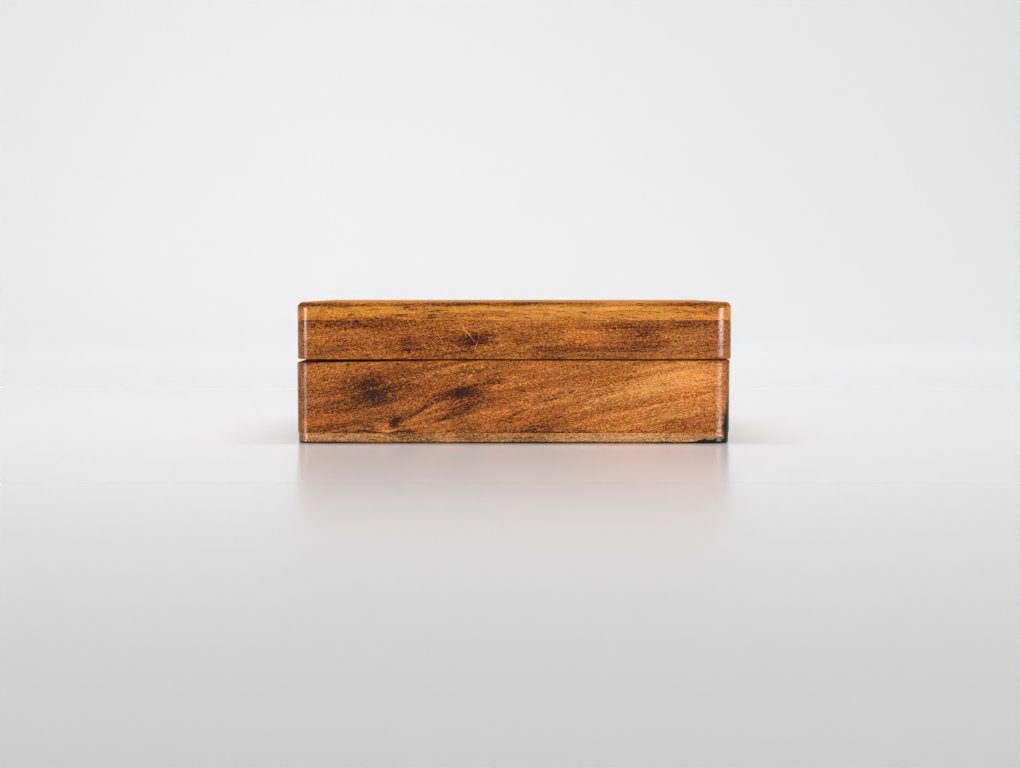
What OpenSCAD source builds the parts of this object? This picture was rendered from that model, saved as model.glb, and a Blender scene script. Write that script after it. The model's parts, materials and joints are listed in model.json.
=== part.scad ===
// Wooden puzzle box with a lid that swivels on a corner dowel.
// Two hidden locks hold the lid: a bolt worked by a secret slide in the underside, and two tilt pins
// that drop into the lid when the box is turned over.
// Millimetres. +Z is up, +Y is towards the back, and the origin is the middle of the underside.

/* [Box] */
// Width of the whole box
box_w = 150; // [140:1:180]
// Depth of the whole box, front to back
box_d = 100; // [95:1:130]
// Thickness of the mitred walls
wall_t = 7.5; // [6:0.5:8]
// Radius of the upright corners
corner_r = 5.5; // [2:0.5:6]
// How far the lid stands past the base on the right
lid_step = 0.4; // [0:0.1:0.8]

/* [Heights] */
// Thickness of the bottom board
bottom_t = 3.6; // [3.6:0.1:5]
// Height of the base walls
base_wall_h = 25; // [25:0.5:40]
// Gap between the base and the lid at the pivot
seam_gap = 0.4; // [0.3:0.1:0.6]
// How far the top of the base walls falls away at the left end
top_wear = 0.8; // [0:0.1:0.8]
// Height of the lid rails
lid_rail_h = 13.4; // [12:0.2:20]
// Thickness of the top board
top_t = 6.2; // [5:0.2:8]
// Radius of the round on the top board's upper edge
top_round = 2.2; // [1:0.1:3]
// Radius of the round on the bottom board's lower edge
bottom_round = 0.7; // [0.4:0.1:1.5]

/* [Pivot] */
// Side of the square blocks that hold the pivot dowel
pivot_block = 20; // [20:1:24]
// Diameter of the pivot dowel
dowel_d = 9; // [8:0.5:10]
// How far the lid swivels before its stop
swivel_angle = 120; // [90:5:120]

/* [Lock] */
// Width of the lock chamber at the left end of the base
chamber_w = 17; // [17:0.5:20]
// Side of the square lock bolt
bolt_side = 10; // [9:0.5:10]
// Travel of the secret slide
slide_travel = 10; // [8:0.5:10]
// Lift of the bolt over the whole travel of the slide
bolt_lift = 6; // [4:0.5:6]
// Diameter of the tilt pins
pin_d = 6; // [5:0.5:6]
// Distance of each tilt pin from the middle of the lock block
pin_offset = 30; // [28:1:31]

/* [Hidden] */
$fn = 96;

// Clearances and small overlaps
eps = 0.01;
run_gap = 0.2;      // between wooden pieces that slide
pin_gap = 0.15;     // round a steel or brass pin that moves in a slot
dowel_gap = 0.08;   // round the pivot dowel in the base

// Plan: the base is flush at the left and the lid at the right
lid_inset = lid_step / 2;
base_w = box_w - lid_step;
lid_w = box_w - lid_inset;
base_x = -lid_step / 2;
lid_x = lid_inset / 2;
base_in_left = -box_w / 2 + wall_t;
base_in_right = base_x + base_w / 2 - wall_t;
lid_in_left = lid_x - lid_w / 2 + wall_t;
inside_y = box_d / 2 - wall_t;
board_inset = 0.25; // the bottom board is a little smaller than the walls

// Heights
base_top = bottom_t + base_wall_h;
lid_bottom = base_top + seam_gap;
rail_top = lid_bottom + lid_rail_h;
wear_start_x = -box_w / 6;
felt_t = 1;

// Pivot corner
pivot_x = base_in_right - pivot_block / 2;
pivot_y = inside_y - pivot_block / 2;
counterbore_h = 6;
counterbore_d = 15;
washer_t = 1;
washer_d = 14;
dowel_bottom = bottom_t + counterbore_h - run_gap;
screw_d = 3.5;
screw_head_d = 7;
screw_head_h = 2.4;
screw_len = 15.6;
stop_pin_d = 2;
stop_radius = 7.5;
stop_angle = 45;    // from the pivot towards the back right corner
stop_stand = 2;     // how far the stop pin stands into the groove
stop_sunk = 8;
groove_depth = 2.5;

// Lock chamber
lock_x = base_in_left + chamber_w / 2;
partition_t = 3;
partition_x = base_in_left + chamber_w;
cover_t = 3;
cover_top = base_top - top_wear;
block_top = cover_top - cover_t;
well = bolt_side + 2 * run_gap;
mortise = bolt_side + 1;

// Secret slide: a dovetailed strip in the bottom board
slot_low_w = 11.2;
slot_high_w = 14;
slide_len = 40;
slide_low = 0.3;
slide_high = bottom_t - run_gap;
slot_len = slide_len + slide_travel + 2 * run_gap;
slide_mid_y = -slide_travel / 2;
grip_w = 1.6;
grip_depth = 0.7;

// Cam plate and bolt
cam_t = 3;
cam_margin = 3.5;
cam_foot = 2;
cam_low = slide_high - cam_foot;
bolt_pin_d = 2.5;
cam_slot_w = bolt_pin_d + 2 * pin_gap;
bolt_low = bottom_t + 0.6;
bolt_high = cover_top - run_gap;
bolt_pin_z = bolt_low + 4;
cam_high = bolt_pin_z + bolt_lift + cam_margin;
cam_rivet_d = 1.2;
cam_rivet_z = cam_low + 1;
cam_rivet_y = 6.5;
cam_rivet_len = slot_low_w - 0.6;
kerf_high = cam_high + 0.6;
kerf = cam_t + 2 * run_gap;

// Tilt pins
pin_len = cover_top - bottom_t - 0.5;
pin_hole_d = pin_d + 0.4;
collar_d = 9;
collar_h = 4;
collar_high = block_top - bolt_lift - run_gap;
pin_low = bottom_t + 0.1;
liner_id = collar_d + 0.4;
liner_d = liner_id + 1.6;
socket_y = pin_d + 1;

// Cover screws: countersunk, slotted
cs_head_d = 5;
cs_head_h = 1.4;
cs_shank_d = 2.5;
cs_len = 10;
cs_slot_w = 0.7;
cs_slot_depth = 0.6;
cover_screw_y = [19.3, 39.3];

// ---------- shared shapes ----------

// Rectangle with round corners, centred
module outline(w, d, r) {
    square([w - 2 * r, d], center = true);
    square([w, d - 2 * r], center = true);
    for (sx = [-1, 1], sy = [-1, 1])
        translate([sx * (w / 2 - r), sy * (d / 2 - r)]) circle(r);
}

// Box from its lowest to its highest corner
module block(low, high) {
    translate(low) cube(high - low);
}

// One wall of a mitred frame: the wall on the -Y side of a frame length x across
module mitred_wall(length, across, h) {
    linear_extrude(h) intersection() {
        outline(length, across, corner_r);
        polygon([
            [-length / 2, -across / 2], [length / 2, -across / 2],
            [length / 2 - wall_t, -across / 2 + wall_t], [-length / 2 + wall_t, -across / 2 + wall_t]
        ]);
    }
}

// The four walls of the base, by quarter turns from the front: 0 front, 1 right, 2 back, 3 left
module base_wall(turn) {
    sideways = turn % 2 == 1;
    color("peru") intersection() {
        translate([base_x, 0, bottom_t]) rotate([0, 0, 90 * turn])
            mitred_wall(sideways ? box_d : base_w, sideways ? base_w : box_d, base_wall_h);
        base_top_shape();
    }
}

// Everything under the worn top edge of the base
module base_top_shape() {
    rotate([90, 0, 0]) linear_extrude(box_d + 2, center = true) polygon([
        [-box_w / 2 - 1, 0], [box_w / 2 + 1, 0], [box_w / 2 + 1, base_top], [wear_start_x, base_top],
        [-box_w / 2 - 1, base_top - top_wear]
    ]);
}

module lid_rail(turn) {
    sideways = turn % 2 == 1;
    color("sienna") translate([lid_x, 0, lid_bottom]) rotate([0, 0, 90 * turn])
        mitred_wall(sideways ? box_d : lid_w, sideways ? lid_w : box_d, lid_rail_h);
}

// Slab with round upright corners and its upper edge rounded all the way round
module rounded_slab(w, d, h, r, edge) {
    linear_extrude(h - edge) outline(w, d, r);
    translate([0, 0, h - edge]) {
        rotate([90, 0, 90]) linear_extrude(w - 2 * r, center = true) crown(d, edge);
        rotate([90, 0, 0]) linear_extrude(d - 2 * r, center = true) difference() {
            crown(w, edge);
            square([w - 2 * r, 4 * edge], center = true);
        }
        for (turn = [0, 1], flip = [0, 1]) mirror([turn, 0, 0]) mirror([0, flip, 0])
            translate([w / 2 - r, d / 2 - r, 0]) rotate_extrude(angle = 90) intersection() {
                crown(2 * r, edge);
                square([r, edge]);
            }
    }
}

// Flat-topped profile of the rounded edge, across a slab of width w
module crown(w, edge) {
    intersection() {
        union() {
            translate([-w / 2 + edge, 0]) square([w - 2 * edge, edge]);
            for (s = [-1, 1]) translate([s * (w / 2 - edge), 0]) circle(edge);
        }
        translate([-w / 2, 0]) square([w, edge]);
    }
}

// Dovetailed bar along Y, from z low to z high, with play taken off each flank
module dovetail_bar(low, high, len, play) {
    flank = (slot_high_w - slot_low_w) / 2 / bottom_t;
    half_low = slot_low_w / 2 + flank * low - play;
    half_high = slot_low_w / 2 + flank * high - play;
    rotate([90, 0, 0]) linear_extrude(len, center = true)
        polygon([[-half_low, low], [half_low, low], [half_high, high], [-half_high, high]]);
}

// Countersunk wood screw with its head's top at z 0, pointing down
module countersunk_screw() {
    difference() {
        union() {
            translate([0, 0, -cs_head_h]) cylinder(h = cs_head_h, d1 = cs_shank_d, d2 = cs_head_d);
            translate([0, 0, -cs_len]) cylinder(h = cs_len - cs_head_h + eps, d = cs_shank_d);
        }
        translate([0, 0, -cs_slot_depth / 2]) rotate([0, 0, 35])
            cube([cs_head_d + 1, cs_slot_w, cs_slot_depth + eps], center = true);
    }
}

// Puts a child at each cover screw
module at_cover_screws() {
    for (y = cover_screw_y, s = [-1, 1]) translate([lock_x, s * y, cover_top]) children();
}

// Sits a child at the pivot, at height z
module at_pivot(z) {
    translate([pivot_x, pivot_y, z]) children();
}

// Lining that fills the space beside the lock and round a pivot block
module felt_sheet(left, right, low) {
    difference() {
        block([left, -inside_y, low], [right, inside_y, low + felt_t]);
        block([base_in_right - pivot_block, inside_y - pivot_block, low - 1],
              [right + 1, inside_y + 1, low + felt_t + 1]);
    }
}

// ---------- base ----------

module bottom_board() {
    color("burlywood") difference() {
        translate([base_x, 0, bottom_t]) mirror([0, 0, 1]) rounded_slab(
            base_w - 2 * board_inset, box_d - 2 * board_inset, bottom_t, corner_r - board_inset, bottom_round);
        translate([lock_x, 0, 0]) dovetail_bar(-eps, bottom_t + eps, slot_len, 0);
    }
}

module partition_wall() {
    color("tan") block([partition_x, -inside_y, bottom_t], [partition_x + partition_t, inside_y, block_top]);
}

module lock_block() {
    color("tan") difference() {
        block([base_in_left, -inside_y, bottom_t], [partition_x, inside_y, block_top]);
        translate([lock_x, 0, (bottom_t + block_top) / 2]) {
            cube([well, well, base_wall_h], center = true);
            cube([cam_t + 1, slide_travel + 2 * cam_margin + bolt_side + 1, base_wall_h], center = true);
        }
        for (s = [-1, 1]) translate([lock_x, s * pin_offset, bottom_t - 1])
            cylinder(h = base_wall_h, d = liner_d);
        at_cover_screws() translate([0, 0, -cs_len]) cylinder(h = cs_len, d = cs_shank_d);
    }
}

module lock_cover() {
    color("saddlebrown") difference() {
        block([base_in_left, -inside_y, block_top], [partition_x + partition_t, inside_y, cover_top]);
        translate([lock_x, 0, block_top]) cube([well, well, 3 * cover_t], center = true);
        for (s = [-1, 1]) translate([lock_x, s * pin_offset, block_top - 1])
            cylinder(h = cover_t + 2, d = pin_hole_d);
        at_cover_screws() {
            translate([0, 0, -cs_head_h]) cylinder(h = cs_head_h, d1 = cs_shank_d, d2 = cs_head_d);
            translate([0, 0, -cover_t - 1]) cylinder(h = cover_t + 1, d = cs_shank_d);
        }
    }
}

module cover_screws() {
    color("gold") at_cover_screws() countersunk_screw();
}

module pin_liner(side) {
    color("goldenrod") translate([lock_x, side * pin_offset, bottom_t]) difference() {
        cylinder(h = block_top - bottom_t, d = liner_d);
        translate([0, 0, -1]) cylinder(h = base_wall_h, d = liner_id);
    }
}

module base_pivot_block() {
    color("tan") difference() {
        translate([pivot_x - pivot_block / 2, pivot_y - pivot_block / 2, bottom_t])
            cube([pivot_block, pivot_block, base_wall_h]);
        at_pivot(bottom_t - 1) cylinder(h = base_wall_h + 2, d = dowel_d + 2 * dowel_gap);
        at_pivot(bottom_t - 1) cylinder(h = counterbore_h + 1, d = counterbore_d);
        at_pivot(base_top - stop_sunk) rotate([0, 0, stop_angle]) translate([stop_radius, 0, 0])
            cylinder(h = stop_sunk + 1, d = stop_pin_d);
    }
}

module stop_pin() {
    color("silver") at_pivot(base_top - stop_sunk) rotate([0, 0, stop_angle])
        translate([stop_radius, 0, 0]) cylinder(h = stop_sunk + seam_gap + stop_stand, d = stop_pin_d);
}

module pivot_washer() {
    inner = dowel_d + 0.4;
    outer = 2 * stop_radius - stop_pin_d - 0.6;
    color("goldenrod") at_pivot(base_top) difference() {
        cylinder(h = seam_gap - 0.05, d = outer);
        translate([0, 0, -1]) cylinder(h = 3, d = inner);
    }
}

module floor_felt() {
    color("darkred") felt_sheet(partition_x + partition_t, base_in_right, bottom_t);
}

// ---------- lid ----------

module top_board() {
    color("goldenrod") translate([lid_x, 0, rail_top])
        rounded_slab(lid_w, box_d, top_t, corner_r, top_round);
}

module keeper_cheek(left, right) {
    color("tan") block([left, -inside_y, lid_bottom], [right, inside_y, rail_top]);
}

// Four blocks between the cheeks: the gaps take the bolt and the two tilt pins
module keeper_spacers() {
    spans = [
        [mortise / 2, pin_offset - socket_y / 2],
        [pin_offset + socket_y / 2, inside_y]
    ];
    color("tan") for (s = [0, 1]) mirror([0, s, 0]) for (span = spans)
        block([lock_x - mortise / 2, span[0], lid_bottom], [lock_x + mortise / 2, span[1], rail_top]);
}

module lid_pivot_block() {
    groove_w = stop_pin_d + 2 * pin_gap;
    end_angle = asin(groove_w / 2 / stop_radius); // room for the pin past each end of the swivel
    color("tan") difference() {
        translate([pivot_x - pivot_block / 2, pivot_y - pivot_block / 2, lid_bottom])
            cube([pivot_block, pivot_block, lid_rail_h]);
        at_pivot(lid_bottom - 1) cylinder(h = lid_rail_h + 2, d = dowel_d);
        at_pivot(lid_bottom - 1) rotate([0, 0, stop_angle - swivel_angle - end_angle])
            rotate_extrude(angle = swivel_angle + 2 * end_angle) translate([stop_radius - groove_w / 2, 0])
                square([groove_w, groove_depth + 1]);
    }
}

module pivot_dowel() {
    color("wheat") at_pivot(dowel_bottom) difference() {
        cylinder(h = rail_top - dowel_bottom, d = dowel_d);
        translate([0, 0, -1]) cylinder(h = screw_len + 1, d = screw_d);
    }
}

module dowel_washer() {
    color("silver") at_pivot(dowel_bottom - washer_t) difference() {
        cylinder(h = washer_t, d = washer_d);
        translate([0, 0, -1]) cylinder(h = washer_t + 2, d = screw_d + 0.2);
    }
}

// Slotted pan-head screw that holds the washer against the dowel's end
module dowel_screw() {
    color("gray") at_pivot(dowel_bottom - washer_t - screw_head_h) difference() {
        union() {
            cylinder(h = screw_head_h, d = screw_head_d);
            cylinder(h = screw_head_h + washer_t + screw_len, d = screw_d);
        }
        cube([screw_head_d + 1, 1, 1.8], center = true);
    }
}

module lid_felt() {
    color("darkred") felt_sheet(lock_x + chamber_w / 2, base_in_right, rail_top - felt_t);
}

// ---------- secret slide and bolt ----------

module secret_slide() {
    cam_len = slide_travel + 2 * cam_margin;
    color("burlywood") difference() {
        translate([lock_x, slide_mid_y, 0]) dovetail_bar(slide_low, slide_high, slide_len, run_gap);
        translate([lock_x, slide_mid_y, slide_high]) cube([cam_t, cam_len, 2 * cam_foot], center = true);
        for (i = [-1, 0, 1]) translate([lock_x, slide_mid_y + i * 2.5 * grip_w, slide_low])
            cube([slot_high_w, grip_w, 2 * grip_depth], center = true);
        cam_rivet_shapes();
    }
}

module cam_rivet_shapes() {
    for (s = [-1, 1]) translate([lock_x, slide_mid_y + s * cam_rivet_y, cam_rivet_z]) rotate([0, 90, 0])
        cylinder(h = cam_rivet_len, d = cam_rivet_d, center = true);
}

// Plate with a sloping slot: it lifts the bolt's pin as the slide moves towards the back
module cam_plate() {
    color("gold") difference() {
        block([lock_x - cam_t / 2, -slide_travel - cam_margin, cam_low],
              [lock_x + cam_t / 2, cam_margin, cam_high]);
        cam_slot();
        cam_rivet_shapes();
    }
}

// Sloping slot with round ends, from the bolt's pin at rest up to where it meets the pin when raised
module cam_slot() {
    slant = norm([slide_travel, bolt_lift]);
    translate([lock_x, 0, bolt_pin_z]) rotate([-atan(bolt_lift / slide_travel), 0, 0]) {
        translate([0, -slant / 2, 0]) cube([cam_t + 2, slant, cam_slot_w], center = true);
        for (y = [0, -slant]) translate([0, y, 0]) rotate([0, 90, 0])
            cylinder(h = cam_t + 2, d = cam_slot_w, center = true);
    }
}

module cam_rivets() {
    color("gold") cam_rivet_shapes();
}

module lock_bolt() {
    half = bolt_side / 2;
    color("gold") difference() {
        block([lock_x - half, -half, bolt_low], [lock_x + half, half, bolt_high]);
        block([lock_x - kerf / 2, -half - 1, bolt_low - 1], [lock_x + kerf / 2, half + 1, kerf_high]);
        bolt_pin_shape(bolt_side + 2);
    }
}

module bolt_pin_shape(len) {
    translate([lock_x, 0, bolt_pin_z]) rotate([0, 90, 0]) cylinder(h = len, d = bolt_pin_d, center = true);
}

module bolt_pin() {
    color("silver") bolt_pin_shape(bolt_side);
}

// ---------- tilt pins ----------

module tilt_pin(side) {
    color("silver") translate([lock_x, side * pin_offset, pin_low]) cylinder(h = pin_len, d = pin_d);
}

module tilt_collar(side) {
    color("goldenrod") translate([lock_x, side * pin_offset, collar_high - collar_h]) difference() {
        cylinder(h = collar_h, d = collar_d);
        translate([0, 0, -1]) cylinder(h = collar_h + 2, d = pin_d);
    }
}

bottom_board();
base_wall(0);  // base_front_wall
base_wall(1);  // base_right_wall
base_wall(2);  // base_back_wall
base_wall(3);  // base_left_wall
partition_wall();
lock_block();
lock_cover();
cover_screws();
pin_liner(-1);  // pin_liner_front
pin_liner(1);  // pin_liner_back
base_pivot_block();
stop_pin();
pivot_washer();
floor_felt();
lid_rail(0);  // lid_front_rail
lid_rail(1);  // lid_right_rail
lid_rail(2);  // lid_back_rail
lid_rail(3);  // lid_left_rail
top_board();
keeper_cheek(lid_in_left, lock_x - mortise / 2);  // keeper_cheek_outer
keeper_cheek(lock_x + mortise / 2, lock_x + chamber_w / 2);  // keeper_cheek_inner
keeper_spacers();
lid_pivot_block();
pivot_dowel();
dowel_washer();
dowel_screw();
lid_felt();
secret_slide();
cam_plate();
cam_rivets();
lock_bolt();
bolt_pin();
tilt_pin(-1);  // tilt_pin_front
tilt_collar(-1);  // tilt_collar_front
tilt_pin(1);  // tilt_pin_back
tilt_collar(1);  // tilt_collar_back
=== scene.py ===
import json
import math

import bmesh
import bpy
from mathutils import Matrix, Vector, noise


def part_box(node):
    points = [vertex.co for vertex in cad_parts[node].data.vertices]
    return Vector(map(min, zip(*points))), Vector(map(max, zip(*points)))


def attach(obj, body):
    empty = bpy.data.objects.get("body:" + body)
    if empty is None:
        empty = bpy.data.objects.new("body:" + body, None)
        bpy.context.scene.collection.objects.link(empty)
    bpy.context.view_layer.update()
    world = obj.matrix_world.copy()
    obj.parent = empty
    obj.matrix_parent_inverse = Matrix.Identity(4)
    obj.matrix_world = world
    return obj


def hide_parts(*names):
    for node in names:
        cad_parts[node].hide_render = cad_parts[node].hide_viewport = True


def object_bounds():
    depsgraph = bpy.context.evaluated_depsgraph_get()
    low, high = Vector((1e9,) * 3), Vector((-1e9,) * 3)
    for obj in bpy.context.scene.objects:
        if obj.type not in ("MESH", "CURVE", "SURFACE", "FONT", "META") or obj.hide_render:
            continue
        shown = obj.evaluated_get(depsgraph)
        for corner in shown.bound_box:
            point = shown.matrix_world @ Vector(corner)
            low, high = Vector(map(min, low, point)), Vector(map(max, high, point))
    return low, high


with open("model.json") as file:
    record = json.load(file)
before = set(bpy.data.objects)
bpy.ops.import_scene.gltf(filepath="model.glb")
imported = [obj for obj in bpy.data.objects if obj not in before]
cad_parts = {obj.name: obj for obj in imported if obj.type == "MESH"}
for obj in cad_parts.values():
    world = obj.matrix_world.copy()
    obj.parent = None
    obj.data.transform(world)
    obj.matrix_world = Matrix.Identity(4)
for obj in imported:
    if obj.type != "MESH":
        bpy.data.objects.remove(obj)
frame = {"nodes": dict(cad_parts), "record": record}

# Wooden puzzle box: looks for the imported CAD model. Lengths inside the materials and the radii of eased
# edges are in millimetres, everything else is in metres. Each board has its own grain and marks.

MM = 0.001
# A depth in millimetres that is past the far side of any piece
RIGHT_THROUGH = 1e5
cad_low, cad_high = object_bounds()
NODES = frame["nodes"]
BODY_OF = {n: body for body, names in frame["record"]["behaviour"]["bodies"].items() for n in names}
SLOT_OF = {part["node"]: part["material_slot"] for part in frame["record"]["subparts"]}


# ---------------------------------------------------------------- shader building

class Shader:
    """Builds one material. Positions are the piece's own, in millimetres."""

    def __init__(self, name):
        self.material = bpy.data.materials.new(name)
        self.material.use_nodes = True
        self.tree = self.material.node_tree
        self.tree.nodes.clear()
        self.surface = self.add("ShaderNodeBsdfPrincipled")
        output = self.add("ShaderNodeOutputMaterial")
        self.join(self.surface.outputs["BSDF"], output.inputs["Surface"])
        place = self.add("ShaderNodeTexCoord").outputs["Object"]
        self.position = self.placed(place, scale=(1 / MM,) * 3)

    def add(self, kind, **settings):
        made = self.tree.nodes.new(kind)
        for key, value in settings.items():
            setattr(made, key, value)
        return made

    def join(self, source, target):
        self.tree.links.new(source, target)

    def feed(self, target, value):
        """Sets a socket to a number, or links another node's output to it."""
        if isinstance(value, bpy.types.NodeSocket):
            self.join(value, target)
        else:
            target.default_value = value

    def sum_of(self, first, *terms):
        for term in terms:
            first = self.math("ADD", first, term)
        return first

    def math(self, kind, first, second=0.0, third=0.0, clamp=False):
        made = self.add("ShaderNodeMath", operation=kind, use_clamp=clamp)
        for socket, value in zip(made.inputs, (first, second, third)):
            self.feed(socket, value)
        return made.outputs[0]

    def swing(self, value, amount):
        """amount times how far value is from its middle, 0.5."""
        return self.math("MULTIPLY_ADD", value, amount, -amount / 2)

    def placed(self, vector, offset=(0, 0, 0), turn=(0, 0, 0), scale=(1, 1, 1), kind="POINT"):
        made = self.add("ShaderNodeMapping", vector_type=kind)
        self.join(vector, made.inputs["Vector"])
        made.inputs["Location"].default_value = offset
        made.inputs["Rotation"].default_value = [math.radians(a) for a in turn]
        made.inputs["Scale"].default_value = scale
        return made.outputs[0]

    def noise(self, vector, scale=1.0, detail=2.0, rough=0.5, distortion=0.0, output="Fac"):
        made = self.add("ShaderNodeTexNoise")
        self.join(vector, made.inputs["Vector"])
        made.inputs["Scale"].default_value = scale
        made.inputs["Detail"].default_value = detail
        made.inputs["Roughness"].default_value = rough
        made.inputs["Distortion"].default_value = distortion
        return made.outputs[output]

    def between(self, value, low, high):
        """Smooth step from 0 at low to 1 at high."""
        made = self.add("ShaderNodeMapRange", interpolation_type="SMOOTHSTEP")
        for socket, number in zip(made.inputs, (value, low, high)):
            self.feed(socket, number)
        return made.outputs[0]

    def ramp(self, value, stops):
        made = self.add("ShaderNodeValToRGB")
        self.join(value, made.inputs[0])
        elements = made.color_ramp.elements
        while len(elements) < len(stops):
            elements.new(0.5)
        for element, (place, colour) in zip(elements, stops):
            element.position = place
            element.color = (*colour, 1)
        return made.outputs["Color"]

    def mix(self, factor, first, second, blend="MIX"):
        made = self.add("ShaderNodeMix", data_type="RGBA", blend_type=blend)
        sockets = [s for s in made.inputs if s.enabled]
        for socket, value in zip(sockets, (factor, first, second)):
            is_colour = not isinstance(value, bpy.types.NodeSocket) and hasattr(value, "__len__")
            self.feed(socket, (*value, 1) if is_colour else value)
        return next(s for s in made.outputs if s.enabled)

    def shift(self, vector, offset_vector, amount):
        """vector moved by offset_vector, a colour around 0.5, times amount on each axis."""
        made = self.add("ShaderNodeVectorMath", operation="MULTIPLY_ADD")
        self.join(offset_vector, made.inputs[0])
        made.inputs[1].default_value = amount
        self.join(vector, made.inputs[2])
        return self.placed(made.outputs[0], offset=[-a / 2 for a in amount])

    def reordered(self, vector, order):
        """The vector's axes in another order, such as XZY."""
        apart = self.add("ShaderNodeSeparateXYZ")
        self.join(vector, apart.inputs[0])
        together = self.add("ShaderNodeCombineXYZ")
        for socket, axis in zip(together.inputs, order):
            self.join(apart.outputs[axis], socket)
        return together.outputs[0]

    def blot(self, vector, centre, radius, turn=0.0):
        """1 in the middle of a soft shape and 0 at its edge. It is an ellipsoid where centre and radius have
        three numbers, and an ellipse that goes right through the piece where they have two."""
        flat = len(centre) == 2
        made = self.add("ShaderNodeTexGradient", gradient_type="SPHERICAL")
        centre = (*centre, 0) if flat else centre
        radius = (*radius, RIGHT_THROUGH) if flat else radius
        self.join(self.placed(vector, centre, (0, 0, turn), radius, "TEXTURE"), made.inputs[0])
        return made.outputs["Fac"]

    def bump(self, height, distance):
        made = self.add("ShaderNodeBump")
        made.inputs["Strength"].default_value = 1.0
        made.inputs["Distance"].default_value = distance
        self.join(height, made.inputs["Height"])
        self.join(made.outputs[0], self.surface.inputs["Normal"])


# ---------------------------------------------------------------- wood

# Tones from dark to light, as linear colour
WALNUT = [
    (0.00, (0.014, 0.004, 0.002)), (0.25, (0.120, 0.026, 0.004)), (0.50, (0.360, 0.103, 0.011)),
    (0.75, (0.620, 0.215, 0.032)), (1.00, (0.850, 0.390, 0.110)),
]
GOLDEN = [
    (0.00, (0.040, 0.010, 0.004)), (0.25, (0.270, 0.080, 0.010)), (0.50, (0.600, 0.230, 0.030)),
    (0.75, (0.780, 0.350, 0.065)), (1.00, (0.920, 0.530, 0.180)),
]
BEIGE = [
    (0.00, (0.030, 0.012, 0.006)), (0.25, (0.180, 0.072, 0.024)), (0.50, (0.480, 0.210, 0.065)),
    (0.75, (0.720, 0.360, 0.125)), (1.00, (0.880, 0.580, 0.300)),
]
PALE = [
    (0.00, (0.120, 0.060, 0.030)), (0.25, (0.300, 0.165, 0.080)), (0.50, (0.480, 0.290, 0.150)),
    (0.75, (0.600, 0.390, 0.220)), (1.00, (0.720, 0.520, 0.330)),
]
DARK = [
    (0.00, (0.006, 0.004, 0.003)), (0.25, (0.040, 0.017, 0.010)), (0.50, (0.100, 0.042, 0.022)),
    (0.75, (0.180, 0.080, 0.040)), (1.00, (0.300, 0.150, 0.080)),
]


# How far the grain wanders, and the edges of the marks on it, in millimetres
GRAIN_WANDER = (10, 9, 9)
MARK_WANDER = (5, 4, 0)
# The speckle's own turn against the grain, in degrees
SPECKLE_TURN = -16
RUDDY_TINT = (1.06, 0.90, 0.62)
RUDDY_SHARE = 0.8
WOOD_SPECULAR = 0.12
COAT_ROUGHNESS = 0.18
# How much rougher the wood is where its coat is gone
BARE_ROUGHNESS = 0.5
GRAIN_DEPTH = 0.10 * MM
STAIN = (0.005, 0.004, 0.004)


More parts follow.
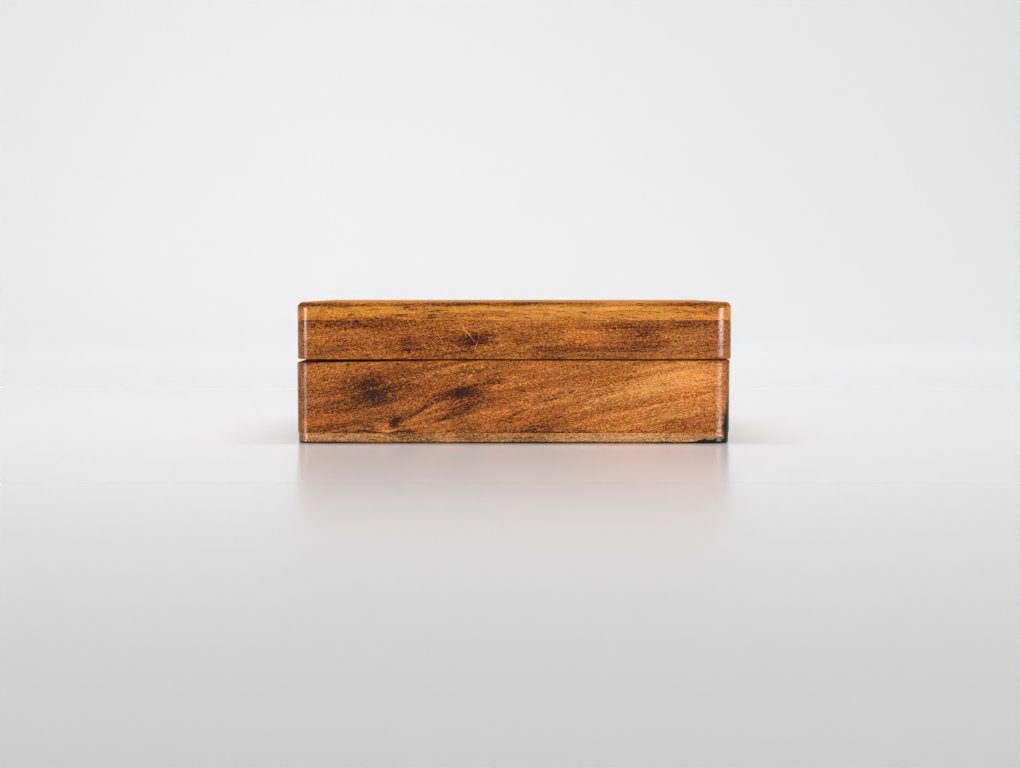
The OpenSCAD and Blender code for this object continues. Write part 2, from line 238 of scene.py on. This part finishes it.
def wood(name, order, seed, palette, tone=0.5, slope=6.0, marks=(), scratches=(), bands=0.6, streaks=0.7,
         mottle=1.9, pores=0.25, roughness=0.30, coat=0.5, stained=False, painted_shade=(), dull_from=None):
    """A lacquered board. Lengths and heights are in millimetres.

    order      the axes along the grain, across it and through the board
    seed       moves the noise, so that no two boards look alike
    palette    the board's tones from dark to light, and tone is where plain wood lies on them
    slope      how steeply the grain rises, in degrees
    bands      how strongly the broad bands show; likewise streaks, mottle and pores
    marks      soft shapes: (along, across, half length, half width, turn in degrees, lightness)
    scratches  the same, with harder edges
    roughness  of the wood under its clear coat, and coat is how strong that coat is
    stained    whether the stain of the front right corner reaches this board
    grime      a darker line of painted shade: the two heights where it fades in, the two where it fades out, and its lightness
    dull_from  the height where the coat starts to give out, and the height where it is gone
    """
    s = Shader(name)
    board = s.reordered(s.position, order)
    own = s.placed(board, offset=(seed * 37.0, seed * 17.0, seed * 11.0))
    drift = s.noise(s.placed(own, scale=(0.016, 0.05, 0.05)), detail=3, output="Color")
    grain = s.placed(s.shift(own, drift, GRAIN_WANDER), turn=(0, 0, -slope))
    fine_drift = s.noise(s.placed(own, scale=(0.12, 0.3, 0.3)), detail=2, output="Color")
    marked = s.shift(board, fine_drift, MARK_WANDER)

    band = s.noise(s.placed(grain, scale=(0.008, 0.22, 0.22)), detail=3, rough=0.55)
    streak = s.noise(s.placed(grain, scale=(0.045, 1.0, 1.0)), detail=4, rough=0.6)
    cloud = s.noise(s.placed(own, scale=(0.035, 0.07, 0.07)), detail=4)
    speckled = s.placed(grain, turn=(0, 0, SPECKLE_TURN), scale=(1.35, 3.3, 3.3))
    speckle = s.noise(speckled, detail=2, rough=0.6)
    pore = s.between(s.noise(s.placed(grain, scale=(0.25, 3.0, 3.0)), detail=1), 0.60, 0.72)

    value = s.sum_of(
        s.swing(band, bands), s.swing(streak, streaks), s.swing(cloud, 0.5), s.swing(speckle, mottle),
        s.math("MULTIPLY", pore, -pores), tone,
    )
    for along, across, half_length, half_width, turn, lightness in marks:
        soft = s.blot(marked, (along, across), (half_length, half_width), turn)
        value = s.math("MULTIPLY_ADD", s.between(soft, 0.0, 1.0), lightness, value)
    for along, across, half_length, half_width, turn, lightness in scratches:
        soft = s.blot(board, (along, across), (half_length, half_width), turn)
        value = s.math("MULTIPLY_ADD", s.between(soft, 0.0, 0.5), lightness, value)
    height_up = s.reordered(s.position, "ZZZ") if painted_shade or dull_from else None
    # Painted shade: a band between two heights is darkened in the colour, standing in for shadow
    if painted_shade:
        rise_from, rise_to, fall_from, fall_to, lightness = painted_shade
        above = s.between(height_up, rise_from, rise_to)
        below = s.between(height_up, fall_to, fall_from)
        value = s.math("MULTIPLY_ADD", s.math("MULTIPLY", above, below), lightness, value)
    colour = s.ramp(value, palette)
    patches = s.noise(s.placed(grain, offset=(90, 40, 0), scale=(0.03, 0.13, 0.13)), detail=3)
    ruddy = s.math("MULTIPLY", s.between(patches, 0.42, 0.66), RUDDY_SHARE)
    colour = s.mix(ruddy, colour, RUDDY_TINT, blend="MULTIPLY")
    if stained:
        colour = corner_stain(s, colour)
    s.feed(s.surface.inputs["Base Color"], colour)
    rough = s.sum_of(s.swing(cloud, 0.35), s.swing(speckle, 0.25), roughness)
    if dull_from:
        dull = s.between(height_up, *dull_from)
        rough = s.math("MULTIPLY_ADD", dull, BARE_ROUGHNESS, rough)
        s.feed(s.surface.inputs["Coat Weight"], s.math("MULTIPLY_ADD", dull, -coat, coat))
    else:
        s.surface.inputs["Coat Weight"].default_value = coat
    s.feed(s.surface.inputs["Roughness"], rough)
    s.surface.inputs["Specular IOR Level"].default_value = WOOD_SPECULAR
    s.surface.inputs["Coat Roughness"].default_value = COAT_ROUGHNESS
    height = s.sum_of(s.math("MULTIPLY", speckle, 0.7), s.math("MULTIPLY", pore, -0.6),
                      s.math("MULTIPLY", streak, 0.5))
    s.bump(height, GRAIN_DEPTH)
    return s.material


def corner_stain(s, colour):
    """The black stain at the foot of the front right corner, and along the bottom edge beside it."""
    ragged = s.noise(s.placed(s.position, scale=(0.16, 0.10, 0.22)), detail=5, rough=0.7, output="Color")
    place = s.shift(s.position, ragged, (3, 14, 9))
    corner = s.between(s.blot(place, (77.6, -47.0, 3.0), (7.2, 18.0, 19.0)), 0.10, 0.32)
    edge = s.between(s.blot(place, (68.0, -50.0, -0.6), (30.0, 12.0, 2.4)), 0.15, 0.45)
    return s.mix(s.math("MAXIMUM", corner, edge), colour, STAIN)


BASE_FRONT_MARKS = [
    # golden right half, browner left half
    (50, 15, 40, 24, 0, 0.32), (56, 24, 26, 9, 0, 0.16), (-40, 14, 50, 16, 0, -0.06),
    # purple-brown cloud with its darkest side to the right
    (-51, 18.5, 13, 8.5, -20, -0.20), (-48, 17.5, 5.0, 7.0, 10, -0.12),
    # lens-shaped streak and the fainter one that carries on from it
    (-18, 17.5, 12.5, 3.6, 9, -0.55), (-7, 21.5, 7, 1.6, 14, -0.22), (-14, 13.5, 15, 4.0, 16, -0.20),
    # knot with its tail, and the light patch under it
    (-40, 7.2, 3.4, 2.2, 25, -0.62), (-33, 11.0, 9, 1.3, 35, -0.30), (-28, 12.0, 12, 1.2, 30, 0.20),
    (-43, 4.6, 4.5, 1.4, 0, 0.34), (-49, 5.4, 2.6, 1.2, 10, -0.24), (-36, 5.0, 7, 1.6, 8, -0.12),
    # curved streak near the middle
    (2, 10.6, 6.5, 0.9, 22, -0.34), (-2, 8.4, 6, 1.4, 14, -0.18),
    # short flecks on the right
    (63, 17.6, 2.4, 0.5, 4, -0.30), (52, 20.6, 5, 0.6, 4, -0.16), (36, 22.5, 8, 2.2, 0, -0.10),
    (58, 7.5, 12, 2.2, 0, -0.12),
    # light patches low on the wall
    (28, 7, 26, 7, 0, 0.12), (-54, 8, 14, 4, 0, 0.10),
    # dark line just above the bottom board, and streaks that rise to the right
    (-46, 4.0, 26, 0.8, 0, -0.55), (14, 3.8, 46, 0.7, 0, -0.30),
    (-25, 8.6, 10, 0.9, 28, -0.22), (-20, 10.4, 9, 0.8, 26, -0.18), (12, 15.0, 10, 0.8, 20, -0.16),
]
LID_FRONT_MARKS = [
    (-47, 36.0, 10, 4, 0, 0.10), (-36, 33.8, 6, 4, 0, -0.14), (-32, 31.5, 20, 2.4, 0, -0.10),
    (-13, 35.8, 9, 2.6, 10, -0.26), (-18, 31.6, 8, 1.6, 8, -0.16), (-54, 40.3, 13, 1.1, 0, -0.14),
    (30, 39.4, 16, 2.0, -2, -0.08), (44, 38.6, 10, 3, 0, -0.10), (58, 35.0, 16, 6, 0, 0.14),
    (-4, 34.5, 7, 5, 0, 0.10), (22, 37.5, 24, 7, 0, 0.22), (-30, 33, 24, 3, 0, 0.08),
    (-68, 36, 12, 7, 0, 0.12),
]
LID_SCRATCHES = [
    (-15.5, 37.5, 5.2, 0.22, -52, 0.55), (-12.8, 34.0, 2.4, 0.20, 68, 0.50),
    (-25.5, 36.5, 4.0, 0.16, -66, 0.30), (-56.3, 34.0, 3.6, 0.16, -82, 0.28),
    (-20.0, 33.5, 1.6, 0.18, -30, 0.40),
]
BASE_SCRATCHES = [
    (-14.8, 23.4, 3.0, 0.22, 55, 0.50), (-17.0, 26.4, 1.2, 0.20, 80, 0.40),
    (30, 19.0, 3.0, 0.16, 12, 0.24),
]
BACK_MARKS = [(-30, 16, 26, 8, 4, -0.2), (34, 12, 20, 6, 0, 0.15)]
TOP_MARKS = [
    (-60, 0, 24, 90, 0, 0.03), (-25, -47, 8, 4, 0, -0.10), (6, -20, 60, 8, 2, -0.12),
    (-30, 15, 50, 9, -2, 0.10), (40, 30, 40, 6, 3, -0.14), (30, -8, 30, 5, -1, 0.08),
    (-55, -30, 22, 4, 2, -0.12),
]
BOTTOM_MARKS = [
    (45, -50, 60, 30, 0, 0.24), (-37, -50, 7, 8, 0, -0.12), (-23, -50, 9, 8, 0, 0.20),
    (-6, -50, 12, 8, 0, 0.08),
]

# Heights where the coat gives out: at the two rims that meet at the seam, and on the worn top
BASE_RIM = (27.2, 27.8)
LID_RIM = (29.7, 29.2)
WORN_TOP = (46.7, 47.7)
# Painted shade: a darker line round the top's rounded edge, where its turn is shaded, and a painted contact
# shadow round the foot
TOP_EDGE_PAINTED_SHADE = (46.7, 47.4, 48.2, 48.55, -0.24)
FOOT_PAINTED_SHADOW = (0.02, 0.15, 0.4, 0.9, -0.50)

# The numbers are each board's seed, tone and slope
WOODS = {
    "base_front_wall": wood("base_front_wood", "XZY", 1.0, WALNUT, 0.47, 12, BASE_FRONT_MARKS, BASE_SCRATCHES,
                            stained=True, dull_from=BASE_RIM),
    "base_right_wall": wood("base_right_wood", "YZX", 2.3, WALNUT, 0.42, 4, stained=True, dull_from=BASE_RIM),
    "base_back_wall": wood("base_back_wood", "XZY", 3.1, WALNUT, 0.48, -5, BACK_MARKS, dull_from=BASE_RIM),
    "base_left_wall": wood("base_left_wood", "YZX", 4.7, WALNUT, 0.44, -4, dull_from=BASE_RIM),
    "lid_front_rail": wood("lid_front_wood", "XZY", 5.2, WALNUT, 0.46, 3, LID_FRONT_MARKS, LID_SCRATCHES,
                           dull_from=LID_RIM),
    "lid_right_rail": wood("lid_right_wood", "YZX", 6.4, WALNUT, 0.43, 3, dull_from=LID_RIM),
    "lid_back_rail": wood("lid_back_wood", "XZY", 7.9, WALNUT, 0.47, -3, dull_from=LID_RIM),
    "lid_left_rail": wood("lid_left_wood", "YZX", 8.8, WALNUT, 0.44, 4, dull_from=LID_RIM),
    # The top board's rounded edge carries a line of painted shade
    "top_board": wood("top_wood", "XYZ", 9.3, GOLDEN, 0.52, 1, TOP_MARKS, bands=0.8, streaks=0.9, mottle=1.1,
                      pores=0.36, painted_shade=TOP_EDGE_PAINTED_SHADE, dull_from=WORN_TOP),
    # The bottom board's foot is darkened by a painted contact shadow
    "bottom_board": wood("bottom_wood", "XYZ", 10.6, BEIGE, 0.46, 2, BOTTOM_MARKS, stained=True,
                         painted_shade=FOOT_PAINTED_SHADOW),
    "secret_slide": wood("slide_wood", "YXZ", 11.2, BEIGE, 0.46, 0),
}
INNER_WOOD = wood("inner_wood", "XZY", 12.4, PALE, 0.5, 2, roughness=0.6, coat=0.0)
INNER_WOOD_ACROSS = wood("inner_wood_across", "YZX", 13.7, PALE, 0.5, 2, roughness=0.6, coat=0.0)
COVER_WOOD = wood("cover_wood", "YXZ", 14.2, DARK, 0.5, 1, roughness=0.5, coat=0.0)
DOWEL_WOOD = wood("dowel_wood", "ZXY", 15.9, PALE, 0.58, 0, roughness=0.6, coat=0.0)
for node_name in ("lid_pivot_block", "base_pivot_block"):
    WOODS[node_name] = INNER_WOOD
for node_name in ("partition_wall", "lock_block", "keeper_cheek_outer", "keeper_cheek_inner",
                  "keeper_spacers"):
    WOODS[node_name] = INNER_WOOD_ACROSS
WOODS["lock_cover"] = COVER_WOOD
WOODS["pivot_dowel"] = DOWEL_WOOD


# ---------------------------------------------------------------- metal and felt

# How much fine scratches and tarnish change the roughness of metal
SCRATCH_ROUGHNESS = 0.35
TARNISH_ROUGHNESS = 0.16
SCRATCH_DEPTH = 0.02 * MM
FELT_DEPTH = 0.35 * MM


def metal(name, colour, tarnish, roughness, scratch_scale):
    s = Shader(name)
    cloud = s.noise(s.position, scale=0.35, detail=4, rough=0.6)
    lines = s.noise(s.placed(s.position, scale=scratch_scale), detail=3, rough=0.7)
    dull = s.between(cloud, 0.42, 0.66)
    s.feed(s.surface.inputs["Base Color"], s.mix(dull, colour, tarnish))
    s.surface.inputs["Metallic"].default_value = 1.0
    duller = s.math("MULTIPLY", dull, TARNISH_ROUGHNESS)
    s.feed(s.surface.inputs["Roughness"], s.sum_of(s.swing(lines, SCRATCH_ROUGHNESS), duller, roughness))
    s.bump(lines, SCRATCH_DEPTH)
    return s.material


BRASS = metal("brass", (0.74, 0.50, 0.20), (0.40, 0.24, 0.10), 0.30, (2.0, 2.0, 9.0))
STEEL = metal("steel", (0.58, 0.58, 0.60), (0.36, 0.35, 0.35), 0.26, (6.0, 6.0, 1.2))


def felt_material(name, colour, light):
    s = Shader(name)
    fibres = s.noise(s.placed(s.position, scale=(1.6, 1.6, 1.6)), detail=5, rough=0.75, distortion=1.6)
    clumps = s.noise(s.placed(s.position, scale=(0.25, 0.25, 0.25)), detail=3)
    shade = s.math("ADD", s.swing(fibres, 1.6), s.swing(clumps, 0.7))
    s.feed(s.surface.inputs["Base Color"], s.mix(s.math("ADD", shade, 0.4, clamp=True), colour, light))
    s.surface.inputs["Roughness"].default_value = 0.95
    s.surface.inputs["Sheen Weight"].default_value = 0.15
    s.surface.inputs["Sheen Roughness"].default_value = 0.5
    s.bump(fibres, FELT_DEPTH)
    return s.material


FELT = felt_material("red_felt", (0.075, 0.005, 0.006), (0.260, 0.022, 0.018))


# ---------------------------------------------------------------- wooden pieces with eased edges

# Corners of the CAD mesh that lie closer together than this are one
WELD = 0.002 * MM
# Folds flatter than FLAT aren't edges, folds over EDGE are eased, and those over SHARP keep a hard line
FLAT = math.radians(0.4)
EDGE = math.radians(35)
SHARP = math.radians(40)
BEVEL_STEPS = 3
# How upright a level face's normal is, how nearly diagonal a mitre's is, and a mitre's least area
LEVEL = 0.9
DIAGONAL = 0.02
MITRE_AREA = 40 * MM * MM


def is_level(face):
    return abs(face.normal.z) > LEVEL


def is_mitre(face):
    """The glued end of a wall: a broad upright face that runs diagonally."""
    diagonal = abs(abs(face.normal.x) - abs(face.normal.y)) < DIAGONAL and not is_level(face)
    return diagonal and face.calc_area() > MITRE_AREA


def eased(node, radius_up, radius_down, every_edge=False):
    """A copy of a wooden CAD piece with its edges eased: radius_up on the rims of its upper faces and
    radius_down on the lower ones, or radius_up on every edge. Glued mitres stay sharp and closed."""
    shape = bmesh.new()
    shape.from_mesh(NODES[node].data)
    bmesh.ops.remove_doubles(shape, verts=shape.verts, dist=WELD)
    bmesh.ops.dissolve_limit(shape, angle_limit=FLAT, verts=shape.verts, edges=shape.edges)
    sharp = [e for e in shape.edges if len(e.link_faces) == 2 and e.calc_face_angle(0) > EDGE]
    sharp = [e for e in sharp if e.is_convex and not any(is_mitre(f) for f in e.link_faces)]
    rims = {1: [], -1: []}
    for edge in sharp:
        level = [f for f in edge.link_faces if is_level(f)]
        if every_edge:
            rims[1].append(edge)
        elif len(level) == 1:
            rims[1 if level[0].normal.z > 0 else -1].append(edge)
    for side, radius in ((1, radius_up), (-1, radius_down)):
        edges = [e for e in rims[side] if e.is_valid]
        if radius and edges:
            bmesh.ops.bevel(shape, geom=edges, offset=radius * MM, segments=BEVEL_STEPS, profile=0.5,
                            affect="EDGES", clamp_overlap=True)
    mesh = bpy.data.meshes.new(node + "_piece")
    shape.to_mesh(mesh)
    shape.free()
    mesh.shade_smooth()
    mesh.set_sharp_from_angle(angle=SHARP)
    piece = bpy.data.objects.new(node + "_piece", mesh)
    bpy.context.scene.collection.objects.link(piece)
    piece.modifiers.new("flat faces stay flat", "WEIGHTED_NORMAL").keep_sharp = True
    piece.data.materials.append(WOODS[node])
    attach(piece, BODY_OF[node])
    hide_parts(node)
    return piece


for wall in ("front", "right", "back", "left"):
    eased(f"base_{wall}_wall", radius_up=0.45, radius_down=0.14)
    eased(f"lid_{wall}_rail", radius_up=0.12, radius_down=0.35)
eased("top_board", radius_up=0, radius_down=0.12)
eased("bottom_board", radius_up=0.14, radius_down=0)
for block in ("partition_wall", "lock_cover", "base_pivot_block", "lid_pivot_block", "keeper_cheek_outer",
              "keeper_cheek_inner", "keeper_spacers", "secret_slide"):
    eased(block, radius_up=0.2, radius_down=0.2, every_edge=True)
for node, piece in NODES.items():
    if piece.hide_render:
        continue
    if node in WOODS:
        piece.data.materials[0] = WOODS[node]
    elif SLOT_OF[node] == "brass":
        piece.data.materials[0] = BRASS
    elif SLOT_OF[node] == "steel":
        piece.data.materials[0] = STEEL


# ---------------------------------------------------------------- felt linings

# The felt's mesh: the size of its cells, and how far its rim stays inside the CAD outline
CELL = 1.6 * MM
INSET = 0.15 * MM
# Points of the felt that lie this near to its face belong to it
FACE_SLACK = 0.01 * MM
# The waves of the felt's face: how close they are, in waves to the metre, and how deep
WAVES = ((90.0, 0.10 * MM), (420.0, 0.05 * MM))
# How far the felt gives way at its rim and elsewhere, as a share of its thickness
RIM_DROP = 0.28
FACE_DROP = 0.02


def felt_lining(node, name, up):
    """The felt cut to the CAD solid's outline, with a soft rim and a faintly uneven face. up is 1 or -1."""
    low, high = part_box(node)
    notch_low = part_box("base_pivot_block")[0]
    thick = high.z - low.z
    columns = int((high.x - low.x) / CELL)
    rows = int((high.y - low.y) / CELL)
    shape = bmesh.new()
    xs = [low.x + INSET + (high.x - low.x - 2 * INSET) * i / columns for i in range(columns + 1)]
    ys = [low.y + INSET + (high.y - low.y - 2 * INSET) * j / rows for j in range(rows + 1)]
    # The line of the grid nearest to each side of the notch moves onto it
    xs[min(range(len(xs)), key=lambda i: abs(xs[i] - notch_low.x))] = notch_low.x - INSET
    ys[min(range(len(ys)), key=lambda j: abs(ys[j] - notch_low.y))] = notch_low.y - INSET
    back, face = (low.z, high.z) if up > 0 else (high.z, low.z)
    grid = [[shape.verts.new((x, y, back)) for y in ys] for x in xs]
    for i in range(columns):
        for j in range(rows):
            if xs[i + 1] > notch_low.x and ys[j + 1] > notch_low.y:
                continue
            shape.faces.new([grid[i][j], grid[i + 1][j], grid[i + 1][j + 1], grid[i][j + 1]])
    loose = [v for v in shape.verts if not v.link_faces]
    bmesh.ops.delete(shape, geom=loose, context="VERTS")
    lower = list(shape.faces)
    raised = bmesh.ops.extrude_face_region(shape, geom=lower, use_keep_orig=True)
    for v in (g for g in raised["geom"] if isinstance(g, bmesh.types.BMVert)):
        v.co.z = face
    bmesh.ops.recalc_face_normals(shape, faces=shape.faces)
    for v in shape.verts:
        if abs(v.co.z - face) > FACE_SLACK:
            continue
        on_rim = any(not is_level(f) for f in v.link_faces)
        wave = sum(noise.noise(v.co * closeness) * depth for closeness, depth in WAVES)
        drop = RIM_DROP * thick if on_rim else FACE_DROP * thick + abs(wave)
        v.co.z -= up * drop
    mesh = bpy.data.meshes.new(name)
    shape.to_mesh(mesh)
    shape.free()
    mesh.shade_smooth()
    piece = bpy.data.objects.new(name, mesh)
    bpy.context.scene.collection.objects.link(piece)
    piece.data.materials.append(FELT)
    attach(piece, BODY_OF[node])
    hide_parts(node)


felt_lining("floor_felt", "floor_lining", 1)
felt_lining("lid_felt", "lid_lining", -1)


# ---------------------------------------------------------------- floor, backdrop, light and camera

def link(name, data):
    made = bpy.data.objects.new(name, data)
    bpy.context.scene.collection.objects.link(made)
    return made


# The floor's reach to either side and to the front, with one row of points between that and the box
HALF_WIDTH = 10.0
FLOOR_FRONT = -10.0
FLOOR_ROW = -1.0
# Where the floor starts to curve up, and the backdrop that it becomes
CURVE_START = 0.95
CURVE_RADIUS = 0.5
CURVE_STEPS = 24
BACKDROP_TOP = 4.0
FLOOR_COLOUR = (0.78, 0.78, 0.785)
# The floor is glossy round the box and duller before and behind it, fading between these depths, which
# are in millimetres because its material reads them
GLOSS_RISE = (-620.0, -40.0)
GLOSS_FALL = (60.0, 900.0)
GLOSSY = 0.2
DULL = 0.9
DULLER_BEHIND = 0.6


def sweep_material():
    s = Shader("pale_sweep")
    depth = s.reordered(s.position, "YYY")
    near = s.between(depth, *GLOSS_RISE)
    far = s.between(depth, *GLOSS_FALL)
    s.surface.inputs["Base Color"].default_value = (*FLOOR_COLOUR, 1)
    ahead = s.math("MULTIPLY_ADD", near, GLOSSY - DULL, DULL)
    s.feed(s.surface.inputs["Roughness"], s.sum_of(ahead, s.math("MULTIPLY", far, DULLER_BEHIND)))
    return s.material


def sweep():
    """A pale floor that curves up into the backdrop well behind the box."""
    profile = [(FLOOR_FRONT, 0.0), (FLOOR_ROW, 0.0), (CURVE_START, 0.0)]
    for i in range(1, CURVE_STEPS + 1):
        a = math.pi / 2 * i / CURVE_STEPS
        profile.append((CURVE_START + CURVE_RADIUS * math.sin(a), CURVE_RADIUS * (1 - math.cos(a))))
    profile.append((CURVE_START + CURVE_RADIUS, BACKDROP_TOP))
    mesh = bpy.data.meshes.new("sweep")
    points = [(x, y, z) for y, z in profile for x in (-HALF_WIDTH, HALF_WIDTH)]
    faces = [(2 * i, 2 * i + 1, 2 * i + 3, 2 * i + 2) for i in range(len(profile) - 1)]
    mesh.from_pydata(points, [], faces)
    mesh.shade_smooth()
    made = link("sweep", mesh)
    mesh.materials.append(sweep_material())


def softbox(name, place, target, size, watts, colour=(1, 1, 1), spread=180):
    data = bpy.data.lights.new(name, "AREA")
    data.shape = "RECTANGLE"
    data.size, data.size_y = size
    data.energy = watts
    data.color = colour
    data.spread = math.radians(spread)
    light = link(name, data)
    light.location = place
    light.rotation_euler = (Vector(target) - Vector(place)).to_track_quat("-Z", "Y").to_euler()


sweep()
CENTRE = (cad_low + cad_high) / 2
softbox("backdrop_high", (0.0, 0.1, 1.7), (0.0, 1.3, 0.4), size=(2.4, 0.6), watts=36)
softbox("backdrop_low", (0.0, 0.1, 1.6), (0.0, 1.45, 0.2), size=(2.8, 0.5), watts=1.6, spread=120)
softbox("overhead", (0.0, -0.1, 1.2), (0.0, -0.14, 0.0), size=(1.0, 0.25), watts=0.27, spread=54)
# Two long low boxes that light the face and draw the highlights down the rounded corners
softbox("right_front", (0.74, -0.92, 0.06), CENTRE, size=(0.95, 0.11), watts=0.98,
        colour=(1.0, 0.95, 0.93), spread=50)
softbox("left_front", (-1.05, -0.75, 0.08), CENTRE, size=(0.4, 0.14), watts=0.46,
        colour=(1.0, 0.98, 0.94), spread=50)

ROOM_COLOUR = (0.93, 0.95, 1.0)
ROOM_STRENGTH = 0.07
world = bpy.data.worlds.new("room")
world.use_nodes = True
background = world.node_tree.nodes["Background"]
background.inputs["Color"].default_value = (*ROOM_COLOUR, 1)
background.inputs["Strength"].default_value = ROOM_STRENGTH
bpy.context.scene.world = world
bpy.context.scene.view_settings.view_transform = "Standard"

# The lens and the sensor in millimetres; the camera stands a little left of the middle and looks down
LENS = 54
SENSOR = 36
CAMERA_X = -0.0014
CAMERA_AHEAD = 0.524
CAMERA_HEIGHT = 0.053
CAMERA_DOWN = 3.55
camera_data = bpy.data.cameras.new("camera")
camera_data.lens = LENS
camera_data.sensor_width = SENSOR
camera = link("camera", camera_data)
camera.location = (CAMERA_X, cad_low.y - CAMERA_AHEAD, CAMERA_HEIGHT)
camera.rotation_euler = (math.radians(90 - CAMERA_DOWN), 0, 0)
bpy.context.scene.camera = camera

bpy.context.view_layer.update()
